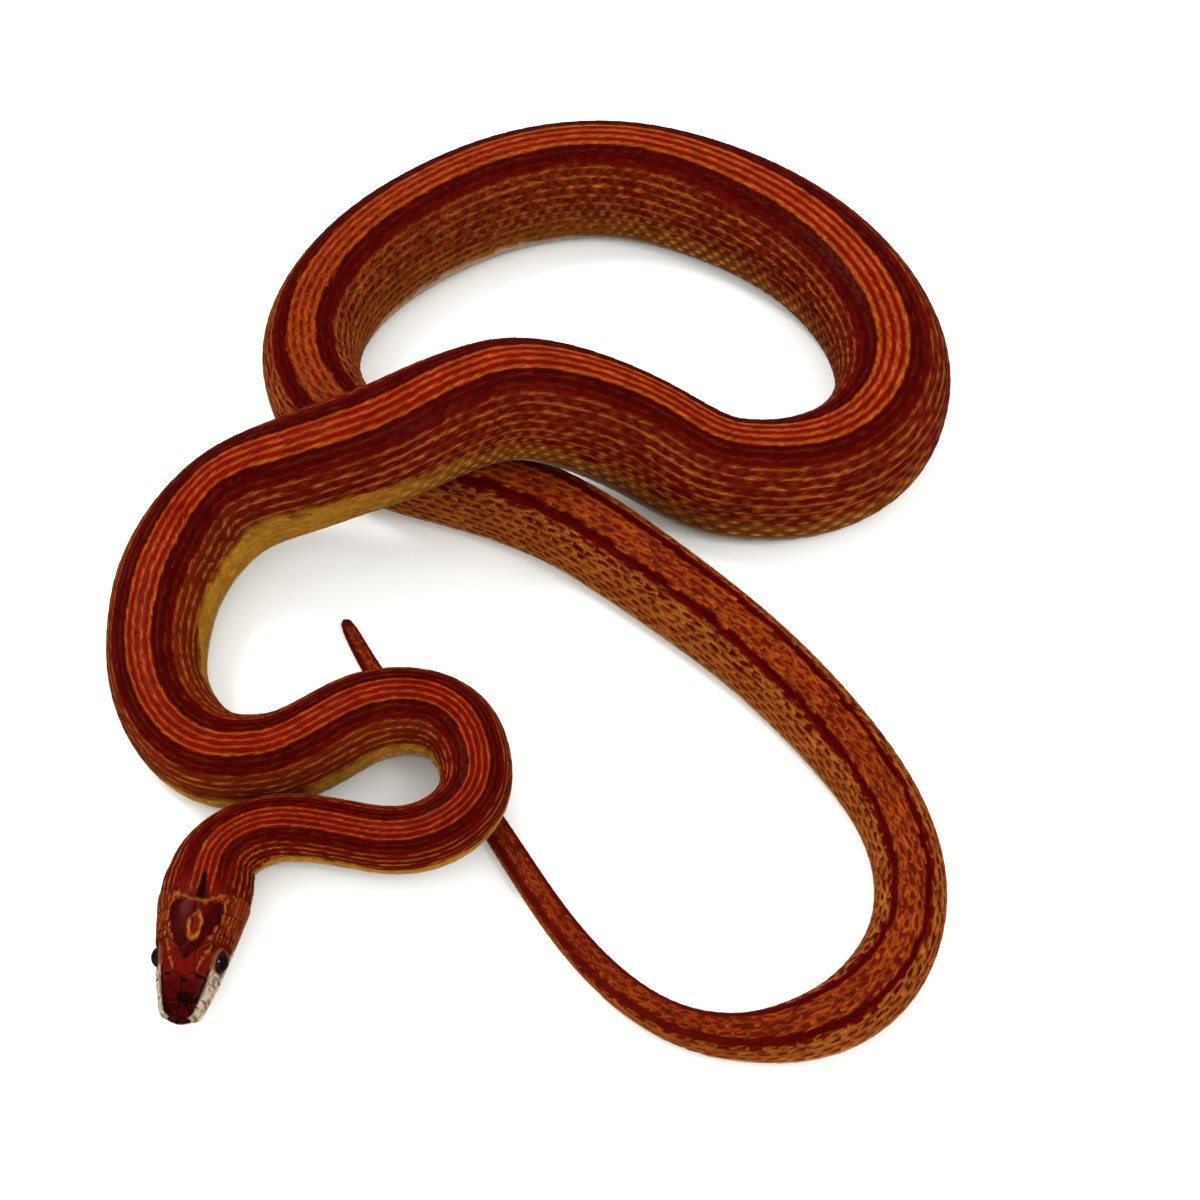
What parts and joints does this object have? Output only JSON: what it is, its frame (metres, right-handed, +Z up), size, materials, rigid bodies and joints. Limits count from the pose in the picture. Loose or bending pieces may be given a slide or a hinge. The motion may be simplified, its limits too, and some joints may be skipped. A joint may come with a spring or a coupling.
{
  "type": "corn snake",
  "caption": "Life-size striped corn snake model lying in loose bends on the floor, crossing over its own body and tail, with head, jaw, eyes, neck, trunk and tail lengths.",
  "frame": {"origin": "on the floor, under the middle of the box that the whole animal fills", "axes": "+Z up, +Y away from the picture's viewer, +X to the viewer's right; the head points along -Y"},
  "size_m": [0.1303, 0.1723, 0.0305],
  "materials": {
    "body_scales": "smooth scales, red and maroon stripes with orange edges, paler flanks",
    "tail_scales": "smooth scales, dark red with orange speckle",
    "head_scales": "smooth head plates, dark red spearhead on orange and red",
    "jaw_scales": "smooth cream lip plates",
    "eye": "wet gloss, black pupil in a dark red-brown iris"
  },
  "bodies": {
    "root": {"eye_left": "eye", "eye_right": "eye", "head": "head_scales", "jaw": "jaw_scales", "neck_1": "body_scales", "neck_2": "body_scales", "neck_3": "body_scales", "neck_4": "body_scales", "tail_1": "tail_scales", "tail_2": "tail_scales", "tail_tip": "tail_scales", "trunk_01": "body_scales", "trunk_02": "body_scales", "trunk_03": "body_scales", "trunk_04": "body_scales", "trunk_05": "body_scales", "trunk_06": "body_scales", "trunk_07": "body_scales", "trunk_08": "body_scales", "trunk_09": "body_scales", "trunk_10": "body_scales", "trunk_11": "body_scales", "trunk_12": "body_scales", "trunk_13": "body_scales", "trunk_14": "body_scales", "trunk_15": "body_scales", "trunk_16": "body_scales", "trunk_17": "body_scales", "trunk_18": "body_scales", "trunk_19": "body_scales", "trunk_20": "body_scales", "trunk_21": "body_scales", "trunk_22": "body_scales", "trunk_23": "body_scales"}
  },
  "joints": []
}
